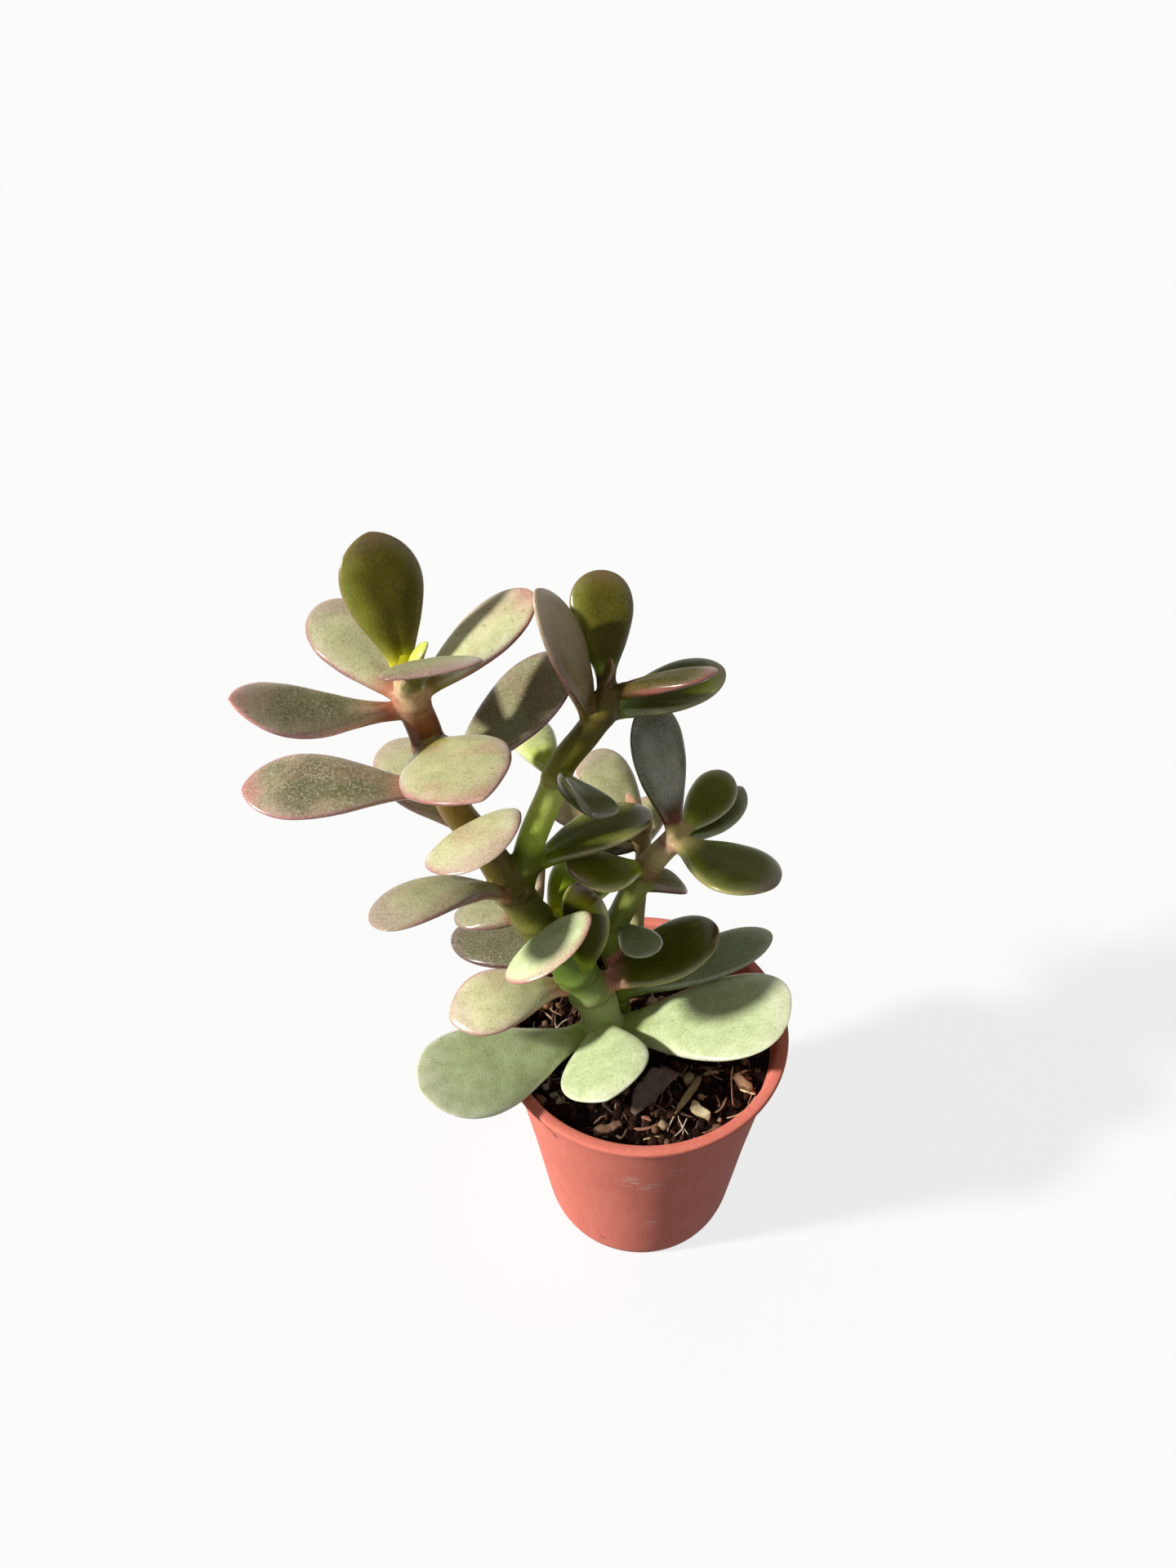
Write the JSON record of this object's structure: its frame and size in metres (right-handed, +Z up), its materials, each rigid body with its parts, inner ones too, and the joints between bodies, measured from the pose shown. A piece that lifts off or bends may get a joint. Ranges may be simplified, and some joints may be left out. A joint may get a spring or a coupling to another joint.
{
  "type": "potted jade plant",
  "caption": "Silver jade plant with thick spoon-shaped leaves on branching green stems, in compost in a small coral plastic nursery pot.",
  "frame": {"origin": "centre of the pot's foot, on the surface it stands on", "axes": "+Z up, +X towards the side away from the leaning branches, +Y towards the back"},
  "size_m": [0.0925, 0.0581, 0.1521],
  "materials": {
    "pot": "satin",
    "soil": "crumbly, matt",
    "stem": "waxy satin",
    "leaf": "waxy satin with pale speckles",
    "litter": "dry, matt"
  },
  "bodies": {
    "root": {"pot": "pot", "soil": "soil", "main_stem": "stem", "left_branch": "stem", "right_branch": "stem", "rear_stem": "stem", "back_stem": "stem", "left_leaf_1": "leaf", "left_leaf_2": "leaf", "left_leaf_3": "leaf", "left_leaf_4": "leaf", "left_leaf_5": "leaf", "left_leaf_6": "leaf", "left_leaf_7": "leaf", "left_leaf_8": "leaf", "left_leaf_9": "leaf", "left_leaf_10": "leaf", "left_leaf_11": "leaf", "fork_leaf_1": "leaf", "fork_leaf_2": "leaf", "fork_leaf_3": "leaf", "fork_leaf_4": "leaf", "fork_leaf_5": "leaf", "fork_leaf_6": "leaf", "right_leaf_1": "leaf", "right_leaf_2": "leaf", "right_leaf_3": "leaf", "right_leaf_4": "leaf", "right_leaf_5": "leaf", "right_leaf_6": "leaf", "right_leaf_7": "leaf", "rear_leaf_1": "leaf", "rear_leaf_2": "leaf", "rear_leaf_3": "leaf", "rear_leaf_4": "leaf", "rear_leaf_5": "leaf", "rear_leaf_6": "leaf", "back_leaf_1": "leaf", "back_leaf_2": "leaf", "back_leaf_3": "leaf", "back_leaf_4": "leaf", "back_leaf_5": "leaf", "shoot_leaf_1": "leaf", "shoot_leaf_2": "leaf", "lower_leaf_1": "leaf", "lower_leaf_2": "leaf", "lower_leaf_3": "leaf", "lower_leaf_4": "leaf", "lower_leaf_5": "leaf", "base_leaf_1": "leaf", "base_leaf_2": "leaf", "base_leaf_3": "leaf", "dead_leaf": "litter", "straw_blade": "litter", "pale_chip": "litter", "bark_chip_front": "litter", "bark_chip_right": "litter"}
  },
  "joints": []
}
